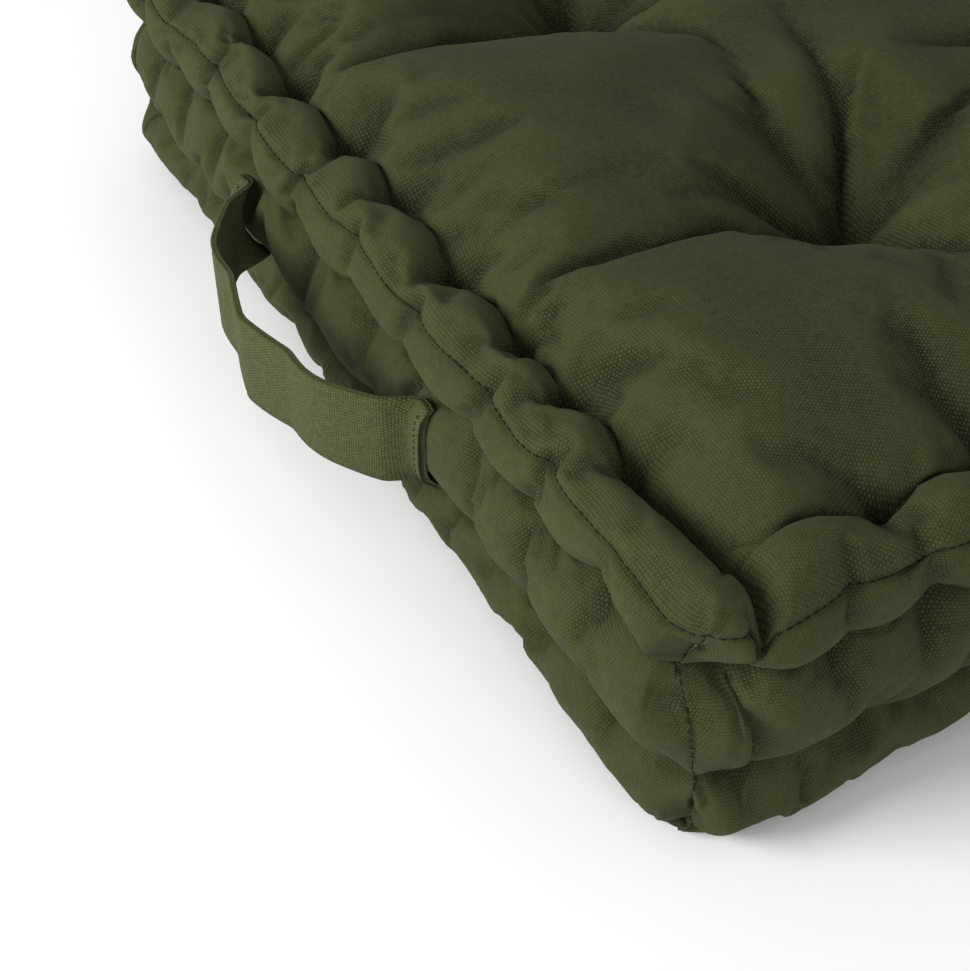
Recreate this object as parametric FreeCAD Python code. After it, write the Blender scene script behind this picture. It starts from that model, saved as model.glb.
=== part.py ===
import FreeCAD, Part
import math
import os

# Tufted box cushion for the floor, with rolled edges and one carrying strap.
# Millimetres. The origin is the centre of the face it rests on, +Z is up, and the
# strap is on the -Y side. Side profiles are drawn as (u, z), where u is the
# distance out from the middle of the cushion.

Vector = FreeCAD.Vector

# Driving dimensions
SEAM_HALF = 220.0           # middle of the cushion to its top seam
BOTTOM_SEAM_Z = 8.0
TOP_SEAM_Z = 94.0
ROLL_HEIGHT = 22.0          # height of each edge roll on the border
ROLL_INSET = 22.0           # from the seam in to the row of stitches on the panel
CROWN_RISE = 18.0           # how far the top panel's middle stands above the seam

CANVAS = 1.0                # thickness of the cover's canvas
LINING_GAP = 0.5            # between the canvas and the filling
LAYER_GAP = 0.4             # between neighbouring pieces of filling
SEAM_GAP = 1.0              # slot between two sewn pieces, filled by the thread
THREAD = 0.7                # sewing thread
TWINE = 1.2                 # twine of the roll stitches and the tufts
NEEDLE_HOLE = 1.6           # hole that the twine passes through

STITCH_PITCH = 38.0
STITCHES_PER_SIDE = 11
TUFT_OFFSET = 78.0          # each tuft from the two centre lines

STRAP_WIDTH = 34.0
STRAP_THICKNESS = 2.4       # canvas folded double, with its edges turned in
STRAP_STANDOFF = 30.0       # how far the loop stands out from the border
HINGE_STANDOFF = 12.0       # where the loop starts to bend up and down
HINGE_X = 50.0              # half the length of the part of the strap that swings
HINGE_GAP = 0.4
TAB_END_X = 76.0            # folded end of the strap, sewn on the border
TAB_LENGTH = 16.0
TAB_STITCHES = 7

# Heights and widths that follow from them
TOP_CREASE_Z = TOP_SEAM_Z - ROLL_HEIGHT
BOTTOM_CREASE_Z = BOTTOM_SEAM_Z + ROLL_HEIGHT
MIDDLE_Z = (TOP_CREASE_Z + BOTTOM_CREASE_Z) / 2
CROWN_Z = TOP_SEAM_Z + CROWN_RISE
ROLL_INNER = SEAM_HALF - ROLL_INSET
BAND_BULGE = 5.0
BAND_FACE = SEAM_HALF + BAND_BULGE
REACH = SEAM_HALF + 60.0    # larger than the cushion in every direction

# Curves of the cover's outer face, each a list of arcs: start, middle, end
BORDER_CURVE = [
    ((SEAM_HALF - 2, BOTTOM_SEAM_Z), (SEAM_HALF + 2, BOTTOM_SEAM_Z + 11), (SEAM_HALF - 5, BOTTOM_CREASE_Z)),
    ((SEAM_HALF - 5, BOTTOM_CREASE_Z), (BAND_FACE, MIDDLE_Z), (SEAM_HALF - 3, TOP_CREASE_Z)),
    ((SEAM_HALF - 3, TOP_CREASE_Z), (SEAM_HALF + 4, TOP_SEAM_Z - 11), (SEAM_HALF, TOP_SEAM_Z)),
]
TOP_CURVE = [
    ((SEAM_HALF, TOP_SEAM_Z), (SEAM_HALF - 11, TOP_SEAM_Z + 9), (ROLL_INNER, TOP_SEAM_Z + 2)),
    ((ROLL_INNER, TOP_SEAM_Z + 2), (ROLL_INNER / 2, CROWN_Z - 4), (0, CROWN_Z)),
]
BOTTOM_CURVE = [
    ((SEAM_HALF - 2, BOTTOM_SEAM_Z), (SEAM_HALF - 12, 0.4), (ROLL_INNER, 3)),
    ((ROLL_INNER, 3), (ROLL_INNER - 3, 1), (ROLL_INNER - 8, 0)),
]


def side_point(point, shift=(0, 0)):
    """A profile point (u, z) placed on the -Y side of the cushion."""
    return Vector(0, -(point[0] + shift[0]), point[1] + shift[1])


def curve_edges(curve, shift=(0, 0)):
    """The arcs of a curve as edges, moved by shift."""
    edges = []
    for arc in curve:
        edges.append(Part.Arc(*[side_point(point, shift) for point in arc]).toShape())
    return edges


def closed_face(edges, corners):
    """A face bounded by edges and by straight lines through the corners that close them."""
    first = edges[0].valueAt(edges[0].FirstParameter)
    last = edges[-1].valueAt(edges[-1].LastParameter)
    path = [last] + corners + [first]
    lines = [Part.makeLine(start, end) for start, end in zip(path, path[1:])]
    return Part.Face(Part.Wire(edges + lines))


def canvas_face(curve, shift):
    """Cross-section of a sheet of canvas between a curve and its moved copy."""
    outer = curve_edges(curve)
    inner = curve_edges(curve, shift)
    start_line = Part.makeLine(inner[0].valueAt(inner[0].FirstParameter), side_point(curve[0][0]))
    end_line = Part.makeLine(side_point(curve[-1][2]), inner[-1].valueAt(inner[-1].LastParameter))
    return Part.Face(Part.Wire(Part.__sortEdges__(outer + inner + [start_line, end_line])))


def side_of_cushion(face, corner_gap=0.0):
    """A cross-section run along the -Y side and mitred at both corners."""
    bar = face.extrude(Vector(2 * REACH, 0, 0))
    bar.translate(Vector(-REACH, 0, 0))
    tip = corner_gap * math.sqrt(0.5)
    base = [Vector(0, -tip, -REACH), Vector(-REACH + tip, -REACH, -REACH), Vector(REACH - tip, -REACH, -REACH)]
    wedge = Part.Face(Part.makePolygon(base + base[:1])).extrude(Vector(0, 0, 2 * REACH))
    return bar.common(wedge)


def turned(shape, quarter_turns):
    """A copy of a shape turned about the cushion's vertical axis."""
    copy = shape.copy()
    copy.rotate(Vector(0, 0, 0), Vector(0, 0, 1), 90 * quarter_turns)
    return copy


def all_round(shape):
    """Four copies of one side, joined at the corners."""
    return shape.fuse([turned(shape, turn) for turn in (1, 2, 3)]).removeSplitter()


def rod(start, end, diameter):
    """A round rod between two points."""
    along = end - start
    return Part.makeCylinder(diameter / 2, along.Length, start, along)


def write(name, shape):
    """Save one piece under its name."""
    shape.exportStep("parts/" + name + ".step")


# Cover

def border_side():
    face = canvas_face(BORDER_CURVE, (-CANVAS, 0))
    strip = side_of_cushion(face, SEAM_GAP)
    trim_height = TOP_SEAM_Z - BOTTOM_SEAM_Z - 2 * (CANVAS + SEAM_GAP)
    trim = Part.makeBox(2 * REACH, REACH, trim_height, Vector(-REACH, -REACH, BOTTOM_SEAM_Z + CANVAS + SEAM_GAP))
    return strip.common(trim)


def top_panel():
    return all_round(side_of_cushion(canvas_face(TOP_CURVE, (0, -CANVAS))))


def bottom_panel():
    rim = all_round(side_of_cushion(canvas_face(BOTTOM_CURVE, (0, CANVAS))))
    flat_half = BOTTOM_CURVE[-1][2][0]
    flat = Part.makeBox(2 * flat_half, 2 * flat_half, CANVAS, Vector(-flat_half, -flat_half, 0))
    return rim.fuse(flat).removeSplitter()


def seam_thread(seam_u, slot_z):
    """Square ring of thread lying in the slot between a panel and the border."""
    outer = seam_u + (CANVAS + THREAD) / 2
    inner = outer - THREAD
    low = slot_z + (SEAM_GAP - THREAD) / 2
    ring = Part.makeBox(2 * outer, 2 * outer, THREAD, Vector(-outer, -outer, low))
    middle = Part.makeBox(2 * inner, 2 * inner, THREAD, Vector(-inner, -inner, low))
    return ring.cut(middle)


def corner_thread():
    """Thread of the upright seam at the front left corner, following the border's curve."""
    face = canvas_face(BORDER_CURVE, (-CANVAS, 0))
    whole = side_of_cushion(face).fuse(turned(side_of_cushion(face), -1))
    height = TOP_SEAM_Z - BOTTOM_SEAM_Z - 2 * (CANVAS + SEAM_GAP)
    slab = Part.makeBox(THREAD, 2 * REACH, height, Vector(-THREAD / 2, 0, BOTTOM_SEAM_Z + CANVAS + SEAM_GAP))
    slab.rotate(Vector(0, 0, 0), Vector(0, 0, 1), 135)
    return whole.common(slab)


# Filling

def filled_side():
    """One side of everything inside the cover."""
    inset = CANVAS + LINING_GAP
    border = curve_edges(BORDER_CURVE, (-inset, 0))
    top_u = SEAM_HALF - inset
    inside_border = closed_face(border, [
        Vector(0, -top_u, REACH), Vector(0, 0, REACH), Vector(0, 0, -REACH),
        Vector(0, -(top_u - 2), -REACH)])
    under_panel = closed_face(curve_edges(TOP_CURVE, (0, -inset)), [
        Vector(0, 0, -REACH), Vector(0, -REACH, -REACH), Vector(0, -REACH, TOP_SEAM_Z - inset)])
    over_panel = closed_face(curve_edges(BOTTOM_CURVE, (0, inset)), [
        Vector(0, 0, inset), Vector(0, 0, REACH), Vector(0, -REACH, REACH),
        Vector(0, -REACH, BOTTOM_SEAM_Z + inset)])
    shape = side_of_cushion(inside_border)
    shape = shape.common(side_of_cushion(under_panel))
    return shape.common(side_of_cushion(over_panel))


def roll_zone(outer, inner, seam_z, grow):
    """One side of the space outside the stitch row that runs from outer to inner."""
    away = 1 if seam_z > MIDDLE_Z else -1
    step = Vector(0, -away * (inner[1] - outer[1]), outer[0] - inner[0])
    step = step / step.Length * grow
    start = side_point(outer) + step
    end = side_point(inner) + step
    reach = (end - start) * 2
    corner = Vector(0, -REACH, seam_z + away * REACH / 4)
    face = Part.Face(Part.makePolygon([start - reach, corner, end + reach, start - reach]))
    return side_of_cushion(face)


def between_heights(shape, low, high):
    """The part of a shape between two heights."""
    return shape.common(Part.makeBox(2 * REACH, 2 * REACH, high - low, Vector(-REACH, -REACH, low)))


# Twine and tufts

TOP_STITCH = ((SEAM_HALF - 3, TOP_CREASE_Z), (ROLL_INNER, TOP_SEAM_Z + 2))
BOTTOM_STITCH = ((SEAM_HALF - 5, BOTTOM_CREASE_Z), (ROLL_INNER, 3))


def roll_stitches(stitch, diameter, spare):
    """Twine of one edge roll: short ties from the border through to the panel."""
    outer, inner = side_point(stitch[0]), side_point(stitch[1])
    along = (inner - outer).normalize()
    ties = []
    for index in range(STITCHES_PER_SIDE):
        x = (index - (STITCHES_PER_SIDE - 1) / 2) * STITCH_PITCH
        shift = Vector(x, 0, 0)
        tie = rod(outer - along * spare + shift, inner + along * spare + shift, diameter)
        ties += [turned(tie, turn) for turn in range(4)]
    return Part.makeCompound(ties)


def tuft_ties(diameter, low, high):
    """Upright twine at the four tufts."""
    ties = []
    for x in (-TUFT_OFFSET, TUFT_OFFSET):
        for y in (-TUFT_OFFSET, TUFT_OFFSET):
            ties.append(rod(Vector(x, y, low), Vector(x, y, high), diameter))
    return Part.makeCompound(ties)


# Strap

def strap_bow():
    """The whole bow of the strap, as a curved plate standing on its edge."""
    rise = STRAP_STANDOFF - HINGE_STANDOFF
    radius = (HINGE_X ** 2 + rise ** 2) / (2 * rise)
    centre_y = -(BAND_FACE + STRAP_STANDOFF - radius)
    centre = Vector(0, centre_y, MIDDLE_Z - STRAP_WIDTH / 2)
    outer = Part.makeCylinder(radius + STRAP_THICKNESS / 2, STRAP_WIDTH, centre)
    inner = Part.makeCylinder(radius - STRAP_THICKNESS / 2, STRAP_WIDTH, centre)
    return outer.cut(inner)


def strap_span(low_x, high_x, face_y):
    """The space between two places along the strap, outside face_y."""
    return Part.makeBox(high_x - low_x, REACH, 2 * REACH, Vector(low_x, face_y - REACH, -REACH))


def strap_loop():
    half = HINGE_X - HINGE_GAP / 2
    return strap_bow().common(strap_span(-half, half, -BAND_FACE))


def strap_end():
    """The sewn end of the strap on the +X side, from the folded edge to the swinging loop."""
    bow = strap_bow().common(strap_span(HINGE_X + HINGE_GAP / 2, TAB_END_X, -BAND_FACE - LINING_GAP / 5))
    tab = Part.makeBox(TAB_LENGTH, STRAP_THICKNESS, STRAP_WIDTH, Vector(
        TAB_END_X - TAB_LENGTH, -BAND_FACE - LINING_GAP / 5 - STRAP_THICKNESS, MIDDLE_Z - STRAP_WIDTH / 2))
    return bow.fuse(tab).removeSplitter()


def strap_stitches(diameter):
    """Upright rows of stitches that hold the strap's two ends to the border."""
    stitches = []
    rows = TAB_STITCHES - 1
    for side in (-1, 1):
        for index in range(TAB_STITCHES):
            x = side * (TAB_END_X - 3)
            z = MIDDLE_Z + (index / rows - 0.5) * (STRAP_WIDTH - 6)
            outside = Vector(x, -BAND_FACE - STRAP_THICKNESS - 0.5, z)
            inside = Vector(x, -BAND_FACE + 3 * BAND_BULGE, z)
            stitches.append(rod(outside, inside, diameter))
    return Part.makeCompound(stitches)


def main():
    os.makedirs("parts", exist_ok=True)

    twine_spare = 1.0
    flush = 0.3
    top_twine = roll_stitches(TOP_STITCH, TWINE, twine_spare)
    bottom_twine = roll_stitches(BOTTOM_STITCH, TWINE, twine_spare)
    tufts = tuft_ties(TWINE, flush, CROWN_Z)
    handle_stitches = strap_stitches(THREAD)
    needle_holes = [
        roll_stitches(TOP_STITCH, NEEDLE_HOLE, 2 * twine_spare),
        roll_stitches(BOTTOM_STITCH, NEEDLE_HOLE, 2 * twine_spare),
        tuft_ties(NEEDLE_HOLE, -REACH, REACH),
        strap_stitches(THREAD + 0.2),
    ]

    border = border_side()
    for name, turn in (("border_front", 0), ("border_right", 1), ("border_back", 2), ("border_left", 3)):
        write(name, turned(border, turn).cut(needle_holes))
    panel = top_panel().cut(needle_holes)
    write("top_panel", panel)
    write("bottom_panel", bottom_panel().cut(needle_holes))

    write("top_seam_thread", seam_thread(SEAM_HALF, TOP_SEAM_Z - CANVAS - SEAM_GAP))
    write("bottom_seam_thread", seam_thread(SEAM_HALF - 2, BOTTOM_SEAM_Z + CANVAS))
    write("corner_seam_threads", Part.makeCompound([turned(corner_thread(), turn) for turn in range(4)]))

    side = filled_side()
    top_roll = side.common(roll_zone(*TOP_STITCH, TOP_SEAM_Z, LAYER_GAP / 2))
    bottom_roll = side.common(roll_zone(*BOTTOM_STITCH, BOTTOM_SEAM_Z, LAYER_GAP / 2))
    core = side.cut([
        roll_zone(*TOP_STITCH, TOP_SEAM_Z, -LAYER_GAP / 2),
        roll_zone(*BOTTOM_STITCH, BOTTOM_SEAM_Z, -LAYER_GAP / 2)])
    core = all_round(core)
    write("top_edge_roll_filling", all_round(top_roll).cut(needle_holes))
    write("bottom_edge_roll_filling", all_round(bottom_roll).cut(needle_holes))
    write("filling_bottom_layer", between_heights(core, 0, BOTTOM_CREASE_Z).cut(needle_holes))
    write("filling_core", between_heights(core, BOTTOM_CREASE_Z + LAYER_GAP, TOP_CREASE_Z).cut(needle_holes))
    write("filling_top_layer", between_heights(core, TOP_CREASE_Z + LAYER_GAP, REACH).cut(needle_holes))

    write("top_roll_twine", top_twine)
    write("bottom_roll_twine", bottom_twine)
    panel_height = panel.BoundBox.ZMax
    write("tuft_ties", tufts.common(Part.makeBox(2 * REACH, 2 * REACH, panel_height, Vector(-REACH, -REACH, 0))))

    right_end = strap_end().cut(needle_holes)
    write("handle_end_right", right_end)
    write("handle_end_left", right_end.mirror(Vector(0, 0, 0), Vector(1, 0, 0)))
    write("handle_stitching", handle_stitches)
    write("handle_strap", strap_loop())


main()
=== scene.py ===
import math

import bpy
import numpy as np
from mathutils import Matrix, Vector


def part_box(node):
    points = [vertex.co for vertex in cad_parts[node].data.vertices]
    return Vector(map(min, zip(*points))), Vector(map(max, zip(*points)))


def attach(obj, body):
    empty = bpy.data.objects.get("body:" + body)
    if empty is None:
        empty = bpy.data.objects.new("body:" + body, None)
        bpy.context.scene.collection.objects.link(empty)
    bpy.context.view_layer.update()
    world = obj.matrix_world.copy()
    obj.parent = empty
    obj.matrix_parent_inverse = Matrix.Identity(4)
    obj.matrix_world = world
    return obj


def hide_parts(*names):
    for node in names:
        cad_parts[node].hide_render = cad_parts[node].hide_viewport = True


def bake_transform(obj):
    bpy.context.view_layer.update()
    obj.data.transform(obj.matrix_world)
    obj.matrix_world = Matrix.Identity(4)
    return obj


# A tufted floor cushion: a canvas cover over a fibre filling, stitched into a roll round both
# edges, and a strap of the same canvas. Metres, in the frame's own axes.

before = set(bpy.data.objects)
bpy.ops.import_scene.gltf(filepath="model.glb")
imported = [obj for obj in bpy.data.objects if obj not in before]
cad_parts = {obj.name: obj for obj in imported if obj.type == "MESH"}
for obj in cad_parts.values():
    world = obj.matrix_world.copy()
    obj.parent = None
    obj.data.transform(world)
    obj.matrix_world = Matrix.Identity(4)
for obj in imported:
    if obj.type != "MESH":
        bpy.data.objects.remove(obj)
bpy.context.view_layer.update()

MM = 0.001

# ------------------------------------------------------------------ sizes, most from the frame

CANVAS = 0.8 * MM                                     # thickness of one layer of cloth
THREAD = 0.7 * MM                                     # thickness of the CAD's thread
TWINE = 1.2 * MM                                      # and of its twine
PAST = 1 * MM                                         # the CAD's panels and twine reach past the seams
                                                      # and creases by this much
SEAM_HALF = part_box("top_panel")[1].x                  # middle of the cushion to its top seam
CROWN_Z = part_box("top_panel")[1].z
TOP_SEAM_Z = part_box("top_panel")[0].z + PAST
BOTTOM_SEAM_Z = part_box("bottom_panel")[1].z - PAST
BOTTOM_HALF = SEAM_HALF - 1 * MM                      # middle to the bottom seam
BORDER_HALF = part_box("border_right")[1].x             # middle to the fullest part of the border
TOP_CREASE_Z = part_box("top_roll_twine")[0].z + PAST
BOTTOM_CREASE_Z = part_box("bottom_roll_twine")[1].z - PAST
ROLL_INSET = TOP_SEAM_Z - TOP_CREASE_Z                # from the seam in to the panel's stitches
FIELD_HALF = SEAM_HALF - ROLL_INSET
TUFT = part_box("tuft_ties")[1].x - TWINE / 2           # each tie from the two centre lines
MIDDLE_Z = (TOP_CREASE_Z + BOTTOM_CREASE_Z) / 2

# Tufts: each lies this far round from the middle of its tie, and the creases between
# them run at this slant. The place is the one beside the right-hand end of the -Y side.
TUFT_SLIP = np.array([9, 6]) * MM
TUFT_PLACE = np.array([TUFT, -TUFT]) + TUFT_SLIP
TUFT_SLANT = TUFT_SLIP.mean() / TUFT

# How high the filling stands over each seam before it swells, and how far the tufts pull it in.
TOP_DOME, TOP_PULL = CROWN_Z - TOP_SEAM_Z - 1.5 * MM, 19 * MM
BOTTOM_DOME, BOTTOM_PULL = 12 * MM, 14 * MM

STRAP_LOW, STRAP_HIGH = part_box("handle_strap")
STRAP_WIDTH = STRAP_HIGH.z - STRAP_LOW.z
STRAP_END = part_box("handle_end_right")[1].x
STRAP_STITCH_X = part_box("handle_stitching")[1].x - THREAD / 2
STRAP_THICK = 2.4 * MM

# Stitches of the rolls along a side, from its left end to its right end as seen from outside,
# measured from the middle: on the panel, under the top roll and over the bottom roll. Hand-sewn.
PANEL_STITCHES = np.array([-149, -111, -74, -30, 8.5, 51.6, 91.5, 120, 152.5]) * MM
BORDER_STITCHES = np.array([-206, -172, -140, -105, -67, -22, 21.5, 58, 98, 136, 173]) * MM
LOW_STITCHES = np.array([-199, -165, -127, -90, -50, -12, 28, 66, 100, 140, 178]) * MM

# How far inside the seam the border's stitches lie, under the top roll and over the bottom roll.
TOP_CREASE_IN = 5 * MM
BOTTOM_CREASE_IN = 7 * MM
CREASE_RISE = 2 * MM                                  # the panel's crease stands above its seam

CORNER_RADIUS = 20 * MM
WARP_PITCH = 0.55 * MM                                # canvas threads, side by side
WEFT_PITCH = 0.90 * MM
SEAM_STITCH = 3.0 * MM                                # from one machine stitch to the next
STITCH_LENGTH = 2.1 * MM
STITCH_THICK = 0.6 * MM


# ------------------------------------------------------------------ cover: grid of the cushion

def lines_across():
    """Places of the mesh's lines across the cushion, close together beside the seams."""
    beside = np.array([0, 0.9, 2, 3.6, 6, 9, 12, 15, 17.5, 19.5, 21, 22.5, 24, 26.5, 30, 34]) * MM
    inner = SEAM_HALF - beside[-1]
    middle = np.linspace(-inner, inner, 91)
    return np.concatenate([beside[:-1] - SEAM_HALF, middle, (SEAM_HALF - beside[:-1])[::-1]])


def tier(low, high, bulge, rows, soft_low, soft_high):
    """One bulging tier of the border from low to high, each (out, z): its rows without the last."""
    turn = np.linspace(0, 1, rows + 1)[:-1]
    t = 0.5 - 0.5 * np.cos(np.pi * turn)
    power = np.where(t < 0.5, soft_low, soft_high)
    out = low[0] + (high[0] - low[0]) * t + bulge * np.sin(np.pi * t) ** power
    return np.stack([out, low[1] + (high[1] - low[1]) * t], axis=1)


def border_profile():
    """The border's outline from the bottom seam up to the top seam, as (out, z)."""
    sharp, gentle = 0.55, 1.0
    bottom_seam = (BOTTOM_HALF, BOTTOM_SEAM_Z)
    bottom_crease = (SEAM_HALF - BOTTOM_CREASE_IN - 2 * MM, BOTTOM_CREASE_Z)
    top_crease = (SEAM_HALF - TOP_CREASE_IN, TOP_CREASE_Z)
    top_seam = (SEAM_HALF, TOP_SEAM_Z)
    bottom_roll, top_roll = 9 * MM, 8 * MM
    band = BORDER_HALF - SEAM_HALF + 8 * MM
    return np.concatenate([
        tier(bottom_seam, bottom_crease, bottom_roll, 10, gentle, sharp),
        tier(bottom_crease, top_crease, band, 18, sharp, sharp),
        tier(top_crease, top_seam, top_roll, 11, sharp, gentle),
        np.array([top_seam]),
    ])


def lumps(points, wavelength, seed, waves=14):
    """Smooth irregular field over 3-D points, about -1 to 1."""
    rng = np.random.default_rng(seed)
    ways = rng.normal(size=(waves, 3))
    ways /= np.linalg.norm(ways, axis=1)[:, None]
    ways *= (2 * math.pi / (wavelength * rng.uniform(0.7, 1.5, waves)))[:, None]
    phases = rng.uniform(0, 2 * math.pi, waves)
    return np.cos(points @ ways.T + phases).sum(axis=1) / math.sqrt(waves)


def valley(distance, width):
    """1 in the middle of a crease, falling away to 0 beside it, with a sharp bottom."""
    return np.exp(-np.abs(distance) / width)


def smooth(value, low, high):
    """0 below low, 1 above high, eased between."""
    t = np.clip((value - low) / (high - low), 0, 1)
    return t * t * (3 - 2 * t)


def panel_rise(x, y, crown):
    """Height of a panel above its seam: the roll, the stitched crease and the tufted domes."""
    inset = SEAM_HALF - np.maximum(np.abs(x), np.abs(y))
    across = np.clip(inset / ROLL_INSET, 0, 1)
    roll = np.where(across < 0.5, np.sin(np.pi * across), np.sin(np.pi * across) ** 0.6)
    roll_rise = 9 * MM
    rise = roll_rise * roll * (inset < ROLL_INSET) + CREASE_RISE * across

    into_x = FIELD_HALF - np.abs(x)
    into_y = FIELD_HALF - np.abs(y)
    corner = 12 * MM
    nearest = -np.log(np.exp(-into_x / corner) + np.exp(-into_y / corner)) * corner
    shoulder_run = 60 * MM
    shoulder = np.clip(nearest / shoulder_run, 0, 1)
    dome = (crown - CREASE_RISE) * (1 - (1 - shoulder) ** 2.4) ** 0.6
    return rise + dome * (inset >= ROLL_INSET)


def hollow(distance, reach):
    """1 in the bottom of a soft valley between two puffs, rising steeply at first and then gently."""
    return np.clip(1 - np.abs(distance) / reach, 0, 1) ** 2.3


def panel_creases(x, y, depth):
    """How far the tufts pull a panel in: four wells, the creases between them and out to the sides."""
    places = np.stack([x, y, 0 * x], axis=1)
    pull = np.zeros_like(x)
    for along, across, slant, seed in ((x, y, TUFT_SLANT, 11), (y, x, -TUFT_SLANT, 12)):
        drift = 9 * MM * lumps(places, 150 * MM, seed)
        for side in (-1, 1):
            beyond = np.abs(along) - TUFT
            free = 1 - np.exp(-(beyond / (35 * MM)) ** 2)
            line = across - side * TUFT - slant * along - drift * free
            between = 0.42 + 0.2 * (along / TUFT) ** 4
            outside = 0.6 * np.exp(-beyond / (60 * MM))
            strength = np.where(beyond < 0, between, outside)
            pull = np.maximum(pull, strength * hollow(line, 55 * MM))
    wells = np.zeros_like(x)
    for quarter in range(4):
        turned = to_side(places, quarter)[:, :2]
        wells += hollow(np.linalg.norm(turned - TUFT_PLACE, axis=1), 60 * MM)
    return depth * (pull + 0.75 * wells)


def to_side(points, quarter):
    """Points turned so that one side of the cushion faces -Y."""
    turn = Matrix.Rotation(-quarter * math.pi / 2, 3, "Z")
    return points @ np.array(turn).T


class Rows:
    """The stitches along the side that faces -Y once its quarter is turned there, as points at rest."""

    def __init__(self, quarter):
        rng = np.random.default_rng(quarter + 1)
        jitter = 0 if quarter < 2 else 4 * MM

        def row(places, y, z):
            x = places + rng.uniform(-jitter, jitter, len(places))
            return np.stack([x, np.full(len(x), y), np.full(len(x), z)], axis=1)

        self.panel = row(PANEL_STITCHES, -FIELD_HALF, TOP_SEAM_Z + CREASE_RISE)
        self.border = row(BORDER_STITCHES, -(SEAM_HALF - TOP_CREASE_IN), TOP_CREASE_Z)
        self.low = row(LOW_STITCHES, -(SEAM_HALF - BOTTOM_CREASE_IN), BOTTOM_CREASE_Z)
        self.under = row(PANEL_STITCHES, -FIELD_HALF, BOTTOM_SEAM_Z - 5 * MM)


def pull_in(rest, places, way, depth, radius):
    """Displacement that draws the cover in around each of a row of stitches."""
    way = np.array(way) / np.linalg.norm(way)
    total = np.zeros(len(rest))
    for place in places:
        total = np.maximum(total, np.exp(-np.linalg.norm((rest - place) / radius, axis=1)))
    return depth * total[:, None] * way


def sew_side(rest, quarter):
    """Displacement by the stitches and folds of one side, for points at rest turned to face -Y."""
    rows = Rows(quarter)
    rng = np.random.default_rng(100 + quarter)
    move = pull_in(rest, rows.panel, (0, -0.4, -1), 9 * MM, (9 * MM, 9 * MM, 14 * MM))
    move += pull_in(rest, rows.border, (0, 1, 0.5), 8 * MM, (8 * MM, 12 * MM, 9 * MM))
    move += pull_in(rest, rows.low, (0, 1, -0.2), 5.5 * MM, (8 * MM, 12 * MM, 9 * MM))
    move += pull_in(rest, rows.under, (0, -0.3, 1), 4 * MM, (9 * MM, 9 * MM, 12 * MM))
    fold_roll(move, rest, rows.panel, rng)
    for row, way in ((rows.border, -1), (rows.low, 1), (rows.border, 1)):
        fold_border(move, rest, row, way, rng)
    return move


def fold_roll(move, rest, row, rng):
    """Adds the fold that runs over the top roll from each stitch and fades towards the seam."""
    depth, width = 4.5 * MM, 6 * MM
    over_roll = smooth(-rest[:, 1], FIELD_HALF - 4 * MM, FIELD_HALF + 2 * MM)
    over_roll *= smooth(rest[:, 2], TOP_SEAM_Z - 3 * MM, TOP_SEAM_Z + 1 * MM)
    to_seam = np.clip((-rest[:, 1] - FIELD_HALF) / ROLL_INSET, 0, 1)
    for place in row:
        lean = rng.uniform(-0.3, 0.3)
        line = rest[:, 0] - place[0] - lean * (rest[:, 1] - place[1])
        move[:, 2] -= depth * valley(line, width) * over_roll * (1 - to_seam) ** 1.3


def fold_border(move, rest, row, way, rng):
    """Adds the fold that runs up (way 1) or down (-1) the border from each stitch of a row."""
    depth, width = 3.2 * MM, 5 * MM
    on_border = smooth(-rest[:, 1], SEAM_HALF - 25 * MM, SEAM_HALF - 8 * MM)
    for place in row:
        lean = rng.uniform(-0.35, 0.35)
        beyond = (rest[:, 2] - place[2]) * way
        line = rest[:, 0] - place[0] - lean * beyond
        reach = rng.uniform(9, 26) * MM
        strength = smooth(beyond, -4 * MM, 2 * MM) * np.exp(-np.clip(beyond, 0, None) / reach)
        move[:, 1] += depth * strength * valley(line, width) * on_border


def fill_butt_end(rest):
    """Height added where a side's roll butts against its neighbour's, so the crease there is shallow."""
    height = 6 * MM
    near_end = 1 - smooth(rest[:, 0], -185 * MM, -135 * MM)
    across = np.exp(-((rest[:, 1] + FIELD_HALF - 2 * MM) / (9 * MM)) ** 2)
    on_panel = smooth(rest[:, 2], TOP_SEAM_Z - 1 * MM, TOP_SEAM_Z + 1 * MM)
    clear = smooth(rest[:, 0], -205 * MM, -190 * MM)
    return height * near_end * across * on_panel * clear


def round_corner(points, radius):
    """Rounds the four upright corners, more at the rim than further in."""
    size = np.abs(points[:, :2])
    past = (size - (SEAM_HALF - radius)) / radius
    both = np.all(past > 0, axis=1)
    p = past[both]
    squeezed = p * np.sqrt(np.clip(1 - p[:, ::-1] ** 2 / 2, 0.3, 1))
    points[both, :2] = np.sign(points[both, :2]) * (SEAM_HALF - radius + squeezed * radius)
    return points


# ------------------------------------------------------------------ cover: sharp creases, after filling

# Folds that run out from a tuft: first heading and last heading (degrees from +X), length and depth.
TUFT_FOLDS = (
    (150, 169, 118 * MM, 12 * MM),
    (236, 268, 66 * MM, 8 * MM),
    (15, 4, 60 * MM, 6 * MM),
    (84, 96, 48 * MM, 4 * MM),
)


def near_path(xy, path):
    """Distance of points from a path, and how far along it their nearest point is, from 0 to 1."""
    best = np.full(len(xy), np.inf)
    along = np.zeros(len(xy))
    steps = len(path) - 1
    for number, (start, end) in enumerate(zip(path[:-1], path[1:])):
        run = end - start
        t = np.clip((xy - start) @ run / (run @ run), 0, 1)
        distance = np.linalg.norm(xy - start - t[:, None] * run, axis=1)
        closer = distance < best
        best[closer] = distance[closer]
        along[closer] = (number + t[closer]) / steps
    return best, along


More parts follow.
